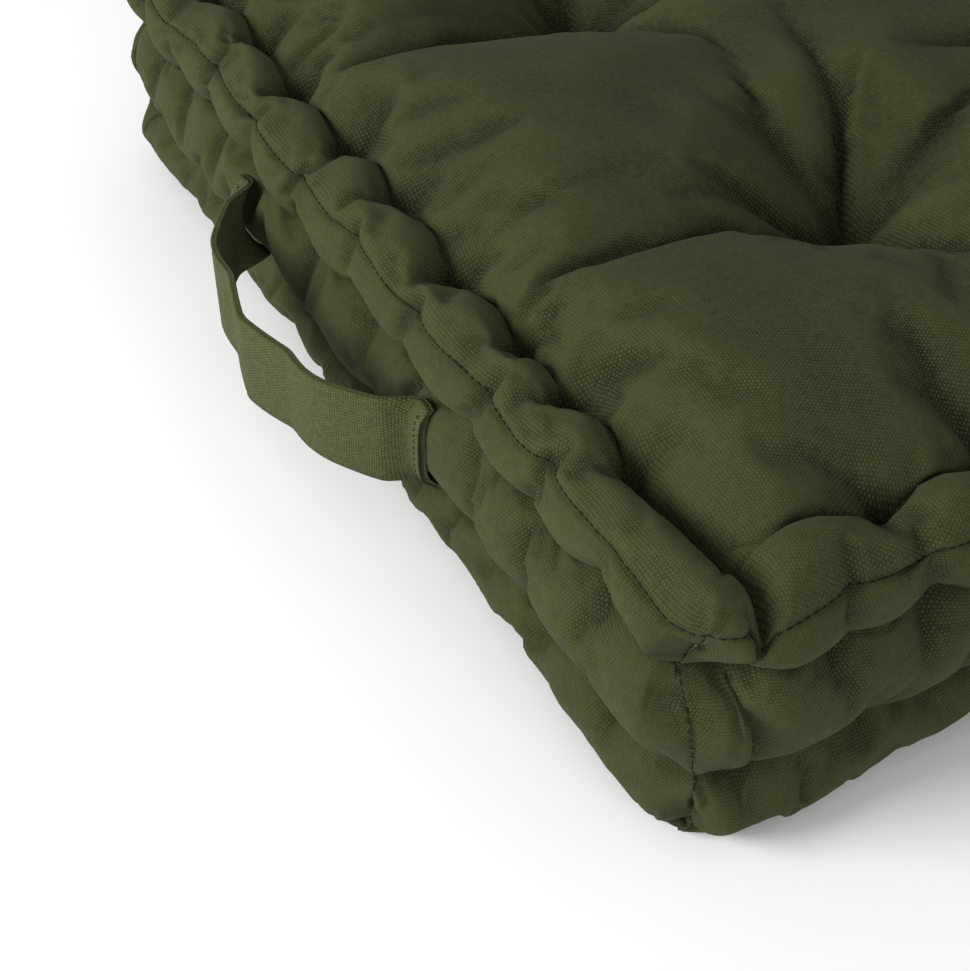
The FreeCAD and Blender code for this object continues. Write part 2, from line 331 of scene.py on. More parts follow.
def fold_path(start, first, last, length, steps=14):
    """A gently bending path in plan from a point, its heading going from first to last degrees."""
    headings = np.radians(np.linspace(first, last, steps))
    run = np.stack([np.cos(headings), np.sin(headings)], axis=1) * length / steps
    return np.concatenate([[start], start + np.cumsum(run, axis=0)])


def tuft_folds(rest):
    """Depth of the sharp folds and the small gathers round the four tufts."""
    depth = np.zeros(len(rest))
    for quarter in range(4):
        turned = to_side(rest, quarter)[:, :2]
        for first, last, length, deep in TUFT_FOLDS:
            distance, along = near_path(turned, fold_path(TUFT_PLACE, first, last, length))
            width = (2.6 + 4 * along) * MM
            fold = valley(distance, width) + 0.55 * valley(distance, 4 * width)
            depth = np.maximum(depth, deep * (1 - along) ** 0.8 * fold)
        reach = np.linalg.norm(turned - TUFT_PLACE, axis=1)
        angle = np.arctan2(*(turned - TUFT_PLACE).T[::-1])
        ring = np.exp(-((reach - 11 * MM) / (7 * MM)) ** 2)
        gathers = np.cos(9 * angle + 2 * np.sin(2 * angle) + quarter)
        well = np.exp(-reach / (7 * MM))
        depth += 0.5 * MM * ring * gathers
        depth += 9 * MM * well
    return depth


def dimple_gathers(rest, quarter):
    """Depth of the soft folds that fan out over the panel from each stitch of one side's roll."""
    rng = np.random.default_rng(300 + quarter)
    long_ones = (2, 5)
    depth = np.zeros(len(rest))
    near = rest[:, 1] < -90 * MM
    xy = rest[near, :2]
    for number, place in enumerate(Rows(quarter).panel):
        long_one = number in long_ones
        for lean in (-38, 0, 38):
            middle = lean == 0
            length = rng.uniform(12, 20) * MM + 75 * MM * (middle and long_one) + 14 * MM * middle
            heading = 90 + lean + rng.uniform(-12, 12)
            path = fold_path(place[:2], heading, 90 + 0.3 * lean + rng.uniform(-15, 15), length, steps=8)
            distance, along = near_path(xy, path)
            deep = (3.4 if middle else 1.8) * MM
            fold = deep * (1 - along) * valley(distance, (3.5 + 4 * along) * MM)
            depth[near] = np.maximum(depth[near], fold)
    return depth


def roll_crease(rest):
    """Depth of the long deep crease where a side's roll runs through to its right-hand corner."""
    path = [(138, -199), (165, -199.5), (190, -196), (203, -194.5), (215, -198), (224, -201)]
    distance, along = near_path(rest[:, :2], np.array(path) * MM)
    strength = smooth(along, 0, 0.25) * (1 - 0.55 * smooth(along, 0.75, 1))
    on_top = smooth(rest[:, 2], TOP_CREASE_Z + 4 * MM, TOP_SEAM_Z)
    depth = 11 * MM
    section = valley(distance, 2.8 * MM) + 0.45 * valley(distance, 9 * MM)
    return depth * strength * section * on_top


def corner_pinch(rest):
    """Displacement at a side's left-hand corner: a crease down its roll, where it butts against its
    neighbour's end, and a fold down the band below."""
    from_corner = rest[:, 0] + SEAM_HALF
    outer = smooth(-rest[:, 1], SEAM_HALF - 12 * MM, SEAM_HALF - 2 * MM)
    move = np.zeros_like(rest)
    on_roll = smooth(rest[:, 2], TOP_CREASE_Z - 4 * MM, TOP_SEAM_Z - 3 * MM)
    move[:, 1] += 4.5 * MM * valley(from_corner - 17 * MM, 3 * MM) * outer * on_roll

    under = TOP_CREASE_Z - rest[:, 2]
    fold = from_corner - 16 * MM - 0.25 * under
    on_band = smooth(under, -8 * MM, 0) * (1 - smooth(under, 24 * MM, 34 * MM))
    move[:, 1] += 6 * MM * valley(fold, 4 * MM) * on_band * outer
    return move


def corner_slip(rest):
    """Displacement that draws the upright seam at a side's right-hand corner round onto that side,
    and sinks a small hole beside it, over the bottom roll."""
    away = np.hypot(np.maximum(SEAM_HALF - rest[:, 0], 0), np.maximum(SEAM_HALF + rest[:, 1], 0))
    under_roll = np.exp(-((rest[:, 2] - 74 * MM) / (17 * MM)) ** 2)
    near = under_roll * np.exp(-(away / (18 * MM)) ** 2)
    move = np.zeros_like(rest)
    move[:, 0] = -9 * MM * near
    move[:, 1] = -1.5 * MM * near
    over_roll = np.exp(-((rest[:, 2] - 34 * MM) / (9 * MM)) ** 2)
    hole = np.exp(-np.hypot(rest[:, 0] - SEAM_HALF + 10 * MM, rest[:, 1] + SEAM_HALF) / (6 * MM))
    move[:, 1] += 7 * MM * over_roll * hole
    return move


def seam_groove(rest):
    """Displacement that sinks the cloth on both sides of the top and bottom seams, with small puckers."""
    move = np.zeros_like(rest)
    out = np.maximum(np.max(np.abs(rest[:, :2]), axis=1), 1 * MM)
    outward = rest[:, :2] / out[:, None]
    outward *= np.abs(outward) > 0.999
    puckers = 1 + 0.5 * lumps(rest, 9 * MM, 51)
    slope = 0.7
    for seam_z, seam_half, way in ((TOP_SEAM_Z, SEAM_HALF, -1), (BOTTOM_SEAM_Z, BOTTOM_HALF, 1)):
        distance = np.hypot(out - seam_half, rest[:, 2] - seam_z)
        groove = 1.3 * MM * np.exp(-(distance / (1.5 * MM)) ** 2)
        sink = groove + 0.45 * MM * puckers * valley(distance, 5 * MM)
        move[:, :2] -= outward * sink[:, None] * slope
        move[:, 2] += way * slope * sink
    return move


def sharpen(rest):
    """Displacement of every crease that is too sharp to come from filling the cover."""
    inset = SEAM_HALF - np.max(np.abs(rest[:, :2]), axis=1)
    on_top = smooth(inset, 1 * MM, 4 * MM) * (rest[:, 2] > MIDDLE_Z)
    underneath = smooth(inset, 4 * MM, 8 * MM) * (rest[:, 2] < MIDDLE_Z)
    move = seam_groove(rest)
    move[:, 2] -= tuft_folds(rest) * on_top * smooth(inset, 8 * MM, ROLL_INSET + 4 * MM)
    for quarter in range(4):
        turned = to_side(rest, quarter)
        rows = Rows(quarter)
        side = corner_pinch(turned) + corner_slip(turned)
        side += pull_in(turned, rows.panel, (0, -0.3, -1), 4.5 * MM, 4 * MM)
        side += pull_in(turned, rows.border, (0, 1, 0.4), 4 * MM, 3.6 * MM)
        side += pull_in(turned, rows.low, (0, 1, -0.2), 4 * MM, 3.6 * MM)
        side[:, 2] -= dimple_gathers(turned, quarter) * on_top
        side[:, 2] += 0.6 * dimple_gathers(turned, quarter) * underneath
        side[:, 2] -= roll_crease(turned)
        move += to_side(side, -quarter)
    return move


# ------------------------------------------------------------------ cover: the mesh

def denser(grid):
    """A grid with a new line between each two of its first axis, on the smooth curve through them."""
    before = 3 * grid[:1] - 3 * grid[1:2] + grid[2:3]
    after = 3 * grid[-1:] - 3 * grid[-2:-1] + grid[-3:-2]
    padded = np.concatenate([before, grid, after])
    between = (9 * (padded[1:-2] + padded[2:-1]) - padded[:-3] - padded[3:]) / 16
    finer = np.empty((2 * len(grid) - 1, *grid.shape[1:]))
    finer[0::2] = grid
    finer[1::2] = between
    return finer


def denser_both(grid):
    """A grid made denser along both of its axes."""
    return denser(denser(grid).swapaxes(0, 1)).swapaxes(0, 1)


SIDES = ("front", "right", "back", "left")            # in the order of their quarters
FILL_FRAMES = 20
FILL_REACH = 12 * MM                                  # the furthest that filling moves the cloth


def distances_along(path):
    """How far along a path each of its points is."""
    return np.concatenate([[0], np.cumsum(np.linalg.norm(np.diff(path, axis=0), axis=1))])


class Cover:
    """The whole cover as one grid over a box, with its six sheets kept apart by name."""

    def __init__(self):
        self.lines = lines_across()
        self.profile = border_profile()
        self.across, self.up = len(self.lines), len(self.profile)
        shape = (self.across, self.across, self.up)
        surface = np.zeros(shape, bool)
        surface[[0, -1], :, :] = True
        surface[:, [0, -1], :] = True
        surface[:, :, [0, -1]] = True
        self.number = np.full(shape, -1)
        self.number[surface] = np.arange(surface.sum())
        self.index = np.argwhere(surface)
        self.points = self.place()

    def place(self):
        """The cover's smooth form, before any stitch pulls it in."""
        i, j, k = self.index.T
        x, y = self.lines[i], self.lines[j]
        out, z = self.profile[k].T
        side = (i == 0) | (i == self.across - 1) | (j == 0) | (j == self.across - 1)
        stretch = np.where(side, out / SEAM_HALF, 1.0)
        points = np.stack([x * stretch, y * stretch, z], axis=1)
        top = (k == self.up - 1) & ~side
        bottom = (k == 0) & ~side
        points[top, 2] = TOP_SEAM_Z + panel_rise(x[top], y[top], TOP_DOME)
        points[top, 2] -= panel_creases(x[top], y[top], TOP_PULL)
        points[bottom, 2] = BOTTOM_SEAM_Z - panel_rise(x[bottom], y[bottom], BOTTOM_DOME)
        points[bottom, 2] += panel_creases(x[bottom], y[bottom], BOTTOM_PULL)
        points[bottom, :2] *= BOTTOM_HALF / SEAM_HALF
        return points

    def shape(self):
        """Pulls the stitches in and gives the filling its uneven feel."""
        rest = self.points.copy()
        points = round_corner(self.points.copy(), CORNER_RADIUS)
        for quarter in range(4):
            turned = to_side(rest, quarter)
            move = sew_side(turned, quarter)
            move[:, 2] += fill_butt_end(turned)
            points += to_side(move, -quarter)
        drift = np.stack([lumps(points, 60 * MM, seed) for seed in (21, 22, 23)], axis=1)
        fine = np.stack([lumps(points, 22 * MM, seed) for seed in (31, 32, 33)], axis=1)
        points += 0.9 * MM * drift + 0.25 * MM * fine
        points[:, 2] = np.maximum(points[:, 2], 0)
        self.rest, self.points = rest, points

    def hold(self):
        """How firmly each point is held while the cover fills: 1 at a stitch, nearly 0 on a puff."""
        stitch_reach, tuft_reach = 7 * MM, 5 * MM
        held = np.full(len(self.points), 0.02)
        for quarter in range(4):
            turned = to_side(self.rest, quarter)
            rows = Rows(quarter)
            for place in np.concatenate([rows.panel, rows.border, rows.low, rows.under]):
                near = np.linalg.norm(turned - place, axis=1)
                held = np.maximum(held, 1.2 - near / stitch_reach)
            from_tuft = np.linalg.norm(turned[:, :2] - TUFT_PLACE, axis=1)
            held = np.maximum(held, 1.3 - from_tuft / tuft_reach)
        return np.clip(held, 0, 1)

    def fill(self):
        """Blows the cover up a little against its stitches, so that the cloth puffs and wrinkles."""
        faces = ("top", "bottom", "front", "back", "left", "right")
        quads = np.concatenate([grid_quads(*self.grid(face)) for face in faces])
        bag = mesh_object("filling_up", self.points, quads)
        group = bag.vertex_groups.new(name="held")
        for index, weight in enumerate(self.hold()):
            group.add([index], float(weight), "REPLACE")
        cloth = bag.modifiers.new("cloth", "CLOTH")
        settings = cloth.settings
        settings.quality = 4
        settings.mass = 0.05
        settings.tension_stiffness = 12
        settings.compression_stiffness = 6
        settings.shear_stiffness = 4
        settings.bending_stiffness = 0.05
        settings.shrink_min = -0.05
        settings.use_pressure = True
        settings.uniform_pressure_force = 4
        settings.vertex_group_mass = "held"
        settings.pin_stiffness = 1.0
        settings.effector_weights.gravity = 0
        scene = bpy.context.scene
        for step in range(FILL_FRAMES):
            scene.frame_set(step + 1)
        filled = bag.evaluated_get(bpy.context.evaluated_depsgraph_get()).data
        moved = np.zeros(len(self.points) * 3)
        filled.vertices.foreach_get("co", moved)
        move = moved.reshape(-1, 3) - self.points
        length = np.linalg.norm(move, axis=1)
        share = np.minimum(length, FILL_REACH) / np.maximum(length, 1e-9)
        self.points = self.points + move * share[:, None]
        self.points[:, 2] = np.maximum(self.points[:, 2], 0)
        scene.frame_set(1)
        bpy.data.objects.remove(bag)

    def grid(self, face):
        """One face of the box as a grid of point numbers, and whether its quads turn the other way."""
        return {
            "top": (self.number[:, :, -1], False),
            "bottom": (self.number[:, :, 0], True),
            "front": (self.number[:, 0, :], False),
            "back": (self.number[:, -1, :], True),
            "left": (self.number[0, :, :], True),
            "right": (self.number[-1, :, :], False),
        }[face]

    def sheet(self, face):
        """One face, made denser and creased: its grid of points, and the same grid on the flat cloth."""
        grid, _ = self.grid(face)
        rows = distances_along(self.profile) if face in SIDES else self.lines
        flat = np.stack(np.meshgrid(self.lines, rows, indexing="ij"), axis=-1)
        points, rest, flat = (denser_both(each) for each in (self.points[grid], self.rest[grid], flat))
        move = sharpen(rest.reshape(-1, 3)).reshape(rest.shape)
        points = points + move
        points[:, :, 2] = np.maximum(points[:, :, 2], 0)
        return points, rest, flat


def grid_quads(grid, flip):
    """Corner numbers of the quads between the points of a grid."""
    quads = np.stack([grid[:-1, :-1], grid[1:, :-1], grid[1:, 1:], grid[:-1, 1:]], axis=-1)
    if flip:
        quads = quads[:, :, ::-1]
    return quads.reshape(-1, 4)


def mesh_object(name, points, faces, places=None):
    """A smooth mesh piece, with its cloth's flat places as the UV map that the weave follows."""
    mesh = bpy.data.meshes.new(name)
    mesh.from_pydata([tuple(p) for p in points], [], [tuple(int(v) for v in face) for face in faces])
    if places is not None:
        weave = mesh.uv_layers.new(name="weave")
        weave.data.foreach_set("uv", np.asarray(places, float).reshape(-1))
    mesh.shade_smooth()
    piece = bpy.data.objects.new(name, mesh)
    bpy.context.scene.collection.objects.link(piece)
    return piece


def hollowness(points, spread=3):
    """How far each point of a grid lies below its surroundings, about -1 on a ridge to 1 in a crease; the
    mask for the canvas's painted shade in creases and painted light on ridges.
    """
    around = points.copy()
    for _ in range(spread):
        for axis in (0, 1):
            last = around.shape[axis] - 1
            here = np.arange(last + 1)
            ahead = np.take(around, np.clip(here + spread, 0, last), axis)
            behind = np.take(around, np.clip(here - spread, 0, None), axis)
            around = (ahead + behind + around) / 3
    normal = np.cross(np.gradient(points, axis=0), np.gradient(points, axis=1))
    normal /= np.maximum(np.linalg.norm(normal, axis=2), 1e-12)[:, :, None]
    deepest = 2 * MM
    return np.clip(((around - points) * normal).sum(axis=2) / deepest, -1, 1)


def cover_piece(cover, face, name):
    """One sheet of the cover as its own piece, with its hollows marked for the material's painted shade in
    creases and painted light on ridges.
    """
    points, rest, flat = cover.sheet(face)
    _, flip = cover.grid(face)
    quads = grid_quads(np.arange(points.shape[0] * points.shape[1]).reshape(points.shape[:2]), flip)
    places = flat.reshape(-1, 2)[quads]
    piece = mesh_object(name, points.reshape(-1, 3), quads, places)
    # The hollow mark, for painted shade in the creases and painted light on the ridges.
    crease_and_ridge_shading = piece.data.attributes.new("hollow", "FLOAT", "POINT")
    inward = -1 if flip else 1
    crease_and_ridge_shading.data.foreach_set("value", (inward * hollowness(points)).reshape(-1))
    cloth = piece.modifiers.new("thickness", "SOLIDIFY")
    cloth.thickness = CANVAS
    cloth.offset = -1
    return piece, (points, rest)


# ------------------------------------------------------------------ materials

def math_node(tree, operation, first, second=None):
    """A Math node with each input a number or a socket; returns its output."""
    node = tree.nodes.new("ShaderNodeMath")
    node.operation = operation
    for socket, value in zip(node.inputs, (first, second)):
        if value is None:
            continue
        if isinstance(value, (int, float)):
            socket.default_value = value
        else:
            tree.links.new(value, socket)
    return node.outputs[0]


def weave_threads(tree, u, v):
    """Heights of the warp and of the weft in a plain weave, each 0 to 1, over thread counts u and v."""
    half_u = math_node(tree, "SUBTRACT", math_node(tree, "FRACT", u), 0.5)
    half_v = math_node(tree, "SUBTRACT", math_node(tree, "FRACT", v), 0.5)
    crossing = math_node(tree, "ADD", math_node(tree, "FLOOR", u), math_node(tree, "FLOOR", v))
    odd = math_node(tree, "PINGPONG", crossing, 1.0)
    over = math_node(tree, "SUBTRACT", 1.0, math_node(tree, "MULTIPLY", odd, 2.0))
    heights = []
    for across, along, sign in ((half_u, half_v, 1.0), (half_v, half_u, -1.0)):
        width = math_node(tree, "MULTIPLY", across, 2.0)
        bend = math_node(tree, "SUBTRACT", 1.0, math_node(tree, "MULTIPLY", width, width))
        rounded = math_node(tree, "SQRT", math_node(tree, "MAXIMUM", bend, 0.0))
        wave = math_node(tree, "COSINE", math_node(tree, "MULTIPLY", along, math.pi))
        lift = math_node(tree, "MULTIPLY", math_node(tree, "MULTIPLY", wave, over), 0.5 * sign)
        heights.append(math_node(tree, "MULTIPLY", rounded, math_node(tree, "ADD", lift, 0.5)))
    return heights


def each_crossing(tree, u, v):
    """A random number from 0 to 1 for each crossing of the threads."""
    cell = tree.nodes.new("ShaderNodeCombineXYZ")
    tree.links.new(math_node(tree, "FLOOR", u), cell.inputs["X"])
    tree.links.new(math_node(tree, "FLOOR", v), cell.inputs["Y"])
    chance = tree.nodes.new("ShaderNodeTexWhiteNoise")
    chance.noise_dimensions = "2D"
    tree.links.new(cell.outputs[0], chance.inputs["Vector"])
    return chance.outputs["Value"]


def new_material(name, roughness, specular):
    """A new material, with its node tree and its shader."""
    material = bpy.data.materials.new(name)
    material.use_nodes = True
    shader = material.node_tree.nodes["Principled BSDF"]
    shader.inputs["Roughness"].default_value = roughness
    shader.inputs["Specular IOR Level"].default_value = specular
    return material, material.node_tree, shader


def noise(tree, scale, detail=2, places=None):
    """A noise texture's outputs, over the flat cloth if its places are given."""
    node = tree.nodes.new("ShaderNodeTexNoise")
    node.inputs["Scale"].default_value = scale
    node.inputs["Detail"].default_value = detail
    if places is not None:
        tree.links.new(places, node.inputs["Vector"])
    return node.outputs


def colour_between(tree, shader, factor, low, high):
    """Colours the shader from low to high as the factor goes from 0 to 1."""
    ramp = tree.nodes.new("ShaderNodeValToRGB")
    ramp.color_ramp.elements[0].color = (*low, 1)
    ramp.color_ramp.elements[1].color = (*high, 1)
    tree.links.new(factor, ramp.inputs["Fac"])
    tree.links.new(ramp.outputs["Color"], shader.inputs["Base Color"])


def thread_counts(tree, places):
    """Thread numbers over the flat cloth, warp and weft, which wander a little as threads do."""
    split = tree.nodes.new("ShaderNodeSeparateXYZ")
    tree.links.new(places, split.inputs[0])
    drift = tree.nodes.new("ShaderNodeSeparateColor")
    tree.links.new(noise(tree, 160, places=places)["Color"], drift.inputs[0])
    counts = []
    for axis, pitch, channel, wander in (("X", WARP_PITCH, "Red", 1.6), ("Y", WEFT_PITCH, "Green", 1.1)):
        straight = math_node(tree, "MULTIPLY", split.outputs[axis], 1 / pitch)
        strayed = math_node(tree, "MULTIPLY", drift.outputs[channel], wander)
        counts.append(math_node(tree, "ADD", straight, strayed))
    return counts


def canvas_material(name, light, dark):
    """Plain-woven cotton canvas: threads, darkened in the gaps between them as painted shade, slubs, a
    little fading, painted shade in the creases and painted light on the ridges, and a dull sheen.
    """
    material, tree, shader = new_material(name, 0.92, 0.12)
    shader.inputs["Sheen Weight"].default_value = 0.03
    shader.inputs["Sheen Roughness"].default_value = 0.45
    shader.inputs["Sheen Tint"].default_value = (0.75, 0.8, 0.55, 1)

    flat = tree.nodes.new("ShaderNodeUVMap")
    flat.uv_map = "weave"
    places = flat.outputs["UV"]
    u, v = thread_counts(tree, places)
    warp, weft = weave_threads(tree, u, v)
    slub = noise(tree, 420, 3, places)["Fac"]

    # The weft shows as bright dots where it passes over the duller warp. The tone follows the threads'
    # height, so the gaps and dips between threads are darkened: painted shade.
    weft_tone = math_node(tree, "MULTIPLY", weft, weft)
    warp_tone = math_node(tree, "MULTIPLY", math_node(tree, "MULTIPLY", warp, warp), 0.3)
    sparkle = math_node(tree, "ADD", math_node(tree, "MULTIPLY", each_crossing(tree, u, v), 0.8), 0.7)
    thread_tone_and_gap_shade = math_node(tree, "MULTIPLY", math_node(tree, "ADD", weft_tone, warp_tone), sparkle)
    mottle = math_node(tree, "MULTIPLY", slub, 0.55)
    faded = math_node(tree, "MULTIPLY", noise(tree, 14, 2, places)["Fac"], 0.25)
    tone = math_node(tree, "ADD", math_node(tree, "ADD", thread_tone_and_gap_shade, mottle), faded)
    tone = math_node(tree, "SUBTRACT", tone, 0.24)
    # Painted shade and light: the cover's hollow mark darkens the canvas in its creases and lightens it on
    # its ridges.
    crease = tree.nodes.new("ShaderNodeAttribute")
    crease.attribute_name = "hollow"
    tone = math_node(tree, "SUBTRACT", tone, math_node(tree, "MULTIPLY", crease.outputs["Fac"], 0.3))
    colour_between(tree, shader, tone, dark, light)

    height = math_node(tree, "MAXIMUM", warp, weft)
    relief = math_node(tree, "ADD", height, math_node(tree, "MULTIPLY", slub, 0.5))
    bump = tree.nodes.new("ShaderNodeBump")
    bump.inputs["Strength"].default_value = 0.7
    bump.inputs["Distance"].default_value = 0.2 * MM
    tree.links.new(relief, bump.inputs["Height"])
    tree.links.new(bump.outputs["Normal"], shader.inputs["Normal"])
    return material


def thread_material(name, colour):
    """Sewing thread or twine: dark and dull, with fine flecks."""
    material, tree, shader = new_material(name, 0.8, 0.15)
    flecks = noise(tree, 2500)["Fac"]
    colour_between(tree, shader, flecks, [c * 0.6 for c in colour], [c * 1.4 for c in colour])
    return material


# ------------------------------------------------------------------ strap

def strap_bow(x):
    """How far out from the cushion's middle the loop's middle line stands: it lifts steeply off its
    stitches and is nearly flat between."""
    apex = -STRAP_LOW.y - STRAP_THICK / 2
    start = STRAP_STITCH_X - 1 * MM
    t = np.clip(np.abs(x) / start, 0, 1)
    rise = apex - BORDER_HALF
    return BORDER_HALF + rise * (1 - t ** 2.6) ** 0.85 - 3 * MM * (np.abs(x) > start)


class FrontFace:
    """The filled front of the cover, to lay the strap's ends on."""

    def __init__(self, points):
        self.points = points.reshape(-1, 3)
        self.points = self.points[np.abs(self.points[:, 0]) < 110 * MM]

    def out(self, x, z):
        """How far out the cover is beside each place, a little smoothed."""
        result = np.empty(len(x))
        for number, (px, pz) in enumerate(zip(x, z)):
            near = np.hypot(self.points[:, 0] - px, self.points[:, 2] - pz) < 7 * MM
            result[number] = np.percentile(-self.points[near, 1], 80)
        return result


def strap_section():
    """Outline of the folded strap: across its width and through its thickness, both as fractions."""
    across = np.linspace(-0.5, 0.5, 17)
    groove = 0.12 * np.exp(-((np.abs(across) - 0.44) / 0.02) ** 2)
    front = np.stack([across, 0.5 - groove], axis=1)
    back = np.stack([across[::-1], -0.5 + groove], axis=1)
    right = np.array([(0.506, 0.2), (0.494, 0.0), (0.506, -0.2)])
    left = np.array([(-0.506, -0.2), (-0.494, 0.0), (-0.506, 0.2)])
    return np.concatenate([front, right, back, left])


def strap_grid(sign, x, section, cover_face):
    """Points of one half of the strap, ring by ring: sewn flat at its end, bowed out in the middle."""
    height = MIDDLE_Z + section[:, 0] * STRAP_WIDTH
    sewn = 1 - smooth(x, STRAP_STITCH_X - 10 * MM, STRAP_STITCH_X - 1 * MM)[:, None]
    grid_x, grid_z = np.meshgrid(x, height, indexing="ij")
    lying = cover_face.out(sign * grid_x.ravel(), grid_z.ravel()).reshape(grid_x.shape) + 0.6 * STRAP_THICK

    bow = np.repeat(strap_bow(x)[:, None], len(section), axis=1)
    facets = np.arcsin(0.97 * np.sin(sign * grid_x / (7.5 * MM) + 1.3))
    kinks = 1.7 * MM * facets * smooth(-np.abs(grid_x), -60 * MM, -25 * MM)
    soft = 3 * MM
    free = soft * np.log1p(np.exp((bow + kinks - lying) / soft)) + lying
    middle = np.where(sewn < 1e-3, lying, lying + (free - lying) * sewn)

    lean = np.gradient(middle.mean(axis=1), x)
    normal = np.stack([-lean, np.ones_like(lean)], axis=1) / np.hypot(lean, 1)[:, None]
    turned_under = 1 + 0.25 * np.exp(-((x - STRAP_END + 3 * MM) / (3 * MM)) ** 4)[:, None]
    offset = section[:, 1] * STRAP_THICK * turned_under
    edge_wave = 1.2 * MM * np.sin(grid_x / (10 * MM) + sign) * section[:, 0]
    droop = 1.5 * MM * smooth(-np.abs(x), -50 * MM, 0)[:, None]
    return np.stack([
        sign * (grid_x + offset * normal[:, :1]),
        -(middle + offset * normal[:, 1:]),
        grid_z + edge_wave - droop,
    ], axis=-1)


def strap_half(sign, name, cover_face):
    """One half of the strap as a piece, closed at its end, and its grid of points."""
    x = np.linspace(STRAP_END, 0, 90)
    section = strap_section()
    points = strap_grid(sign, x, section, cover_face)
    around = len(section)
    closed = np.concatenate([np.arange(around), [0]])
    numbers = np.arange(len(x) * around).reshape(len(x), around)
    end = list(range(around))
    faces = [list(quad) for quad in grid_quads(numbers[:, closed], sign > 0)]
    faces.append(end if sign > 0 else end[::-1])

    girth = distances_along((section * [STRAP_WIDTH, STRAP_THICK])[closed])
    run = distances_along(np.stack([x, strap_bow(x)], axis=1))
    flat = np.stack(np.meshgrid(run, girth, indexing="ij"), axis=-1)
    places = np.stack([flat[:-1, :-1], flat[1:, :-1], flat[1:, 1:], flat[:-1, 1:]], axis=-2)
    if sign > 0:
        places = places[:, :, ::-1]
    end_places = np.stack([0 * girth[:-1], girth[:-1]], axis=1)
    places = np.concatenate([places.reshape(-1, 2), end_places])
    return mesh_object(name, points.reshape(-1, 3), faces, places[:, ::-1]), points


# ------------------------------------------------------------------ thread and twine

def spaced(path, pitch):
    """Points at even steps along a path, and the way the path runs at each."""
    lengths = distances_along(path)
    count = max(int(round(lengths[-1] / pitch)), 2)
    places = (np.arange(count) + 0.5) * lengths[-1] / count
    step = 0.25 * pitch

    def at(places):
        return np.stack([np.interp(places, lengths, path[:, axis]) for axis in range(3)], axis=1)

    ways = at(places + step) - at(places - step)
    return at(places), ways / np.linalg.norm(ways, axis=1)[:, None]


def stitches(name, places, ways, lifts, length, thickness):
    """Stitches as one mesh: each a short thread that rises from the cloth and dives back into it."""
    rings = np.linspace(-1, 1, 7)
    girth = np.sqrt(np.clip(1 - 0.85 * rings ** 4, 0.05, 1)) * thickness / 2
    dip = thickness * 0.9 * rings ** 4
    angles = np.linspace(0, 2 * math.pi, 7, endpoint=False)
    lifts = lifts - (lifts * ways).sum(axis=1)[:, None] * ways
    lifts /= np.linalg.norm(lifts, axis=1)[:, None]
    sides = np.cross(ways, lifts)
    centre = places[:, None] + ways[:, None] * (rings * length / 2)[:, None] - lifts[:, None] * dip[:, None]
    ring = np.cos(angles)[:, None, None] * lifts + np.sin(angles)[:, None, None] * sides
    points = centre[:, :, None] + girth[:, None, None] * ring.transpose(1, 0, 2)[:, None]
    count, rows, around = points.shape[:3]
    numbers = np.arange(count * rows * around).reshape(count, rows, around)
    closed = np.concatenate([np.arange(around), [0]])
    faces = []
    for each in numbers:
        faces += [list(quad) for quad in grid_quads(each[:, closed], False)]
        faces += [list(each[0]), list(each[-1][::-1])]
    return mesh_object(name, points.reshape(-1, 3), faces)


def rim(face_grid):
    """The four edges of a panel's grid as one closed run."""
    edges = [face_grid[:, 0], face_grid[-1, :], face_grid[::-1, -1], face_grid[0, ::-1]]
    return np.concatenate([edge[:-1] for edge in edges] + [edges[0][:1]])


def seam_thread(name, face_grid, up):
    """The line of machine stitches along a panel's seam."""
    places, ways = spaced(rim(face_grid), SEAM_STITCH)
    lifts = places.copy()
    lifts /= np.max(np.abs(lifts[:, :2]), axis=1)[:, None]
    lifts *= np.abs(lifts) > 0.98
    lifts[:, 2] = up
    lifts /= np.linalg.norm(lifts, axis=1)[:, None]
    return stitches(name, places + STITCH_THICK / 4 * lifts, ways, lifts, STITCH_LENGTH, STITCH_THICK)


def corner_thread(name, surfaces):
    """The line of machine stitches down each upright corner seam."""
    seams = np.concatenate([surfaces["front"][0][[0, -1]], surfaces["back"][0][[0, -1]]])
    found = [spaced(seam[2:-2], SEAM_STITCH) for seam in seams]
    places, ways = (np.concatenate(each) for each in zip(*found))
    lifts = np.sign(places) * [1, 1, 0]
    return stitches(name, places, ways, lifts, STITCH_LENGTH, STITCH_THICK)


def on_cloth(surfaces, rest_places, faces):
    """Where the cloth at each place at rest has ended up, over some of the faces."""
    points = np.concatenate([surfaces[face][0].reshape(-1, 3) for face in faces])
    rest = np.concatenate([surfaces[face][1].reshape(-1, 3) for face in faces])
    nearest = [np.argmin(np.linalg.norm(rest - place, axis=1)) for place in rest_places]
    return points[nearest]


def roll_stitches(name, surfaces, rows_wanted, panel):
    """The twine that shows in each dimple of a roll, on its panel and on the border."""
    length, thickness = 4.5 * MM, 1.1 * MM
    places, ways, lifts = [], [], []
    for quarter, face in enumerate(SIDES):
        rows = Rows(quarter)
        for row_name, way_out in rows_wanted:
            row = to_side(getattr(rows, row_name), -quarter)
            where = panel if way_out[2] else face
            places.append(on_cloth(surfaces, row, [where]))
            ways.append(np.repeat(to_side(np.array([[1.0, 0.12, 0]]), -quarter), len(row), axis=0))
            lifts.append(np.repeat(to_side(np.array([way_out], float), -quarter), len(row), axis=0))
    places, ways, lifts = (np.concatenate(each) for each in (places, ways, lifts))
    ways /= np.linalg.norm(ways, axis=1)[:, None]
    return stitches(name, places + 0.5 * MM * lifts, ways, lifts, length, thickness)


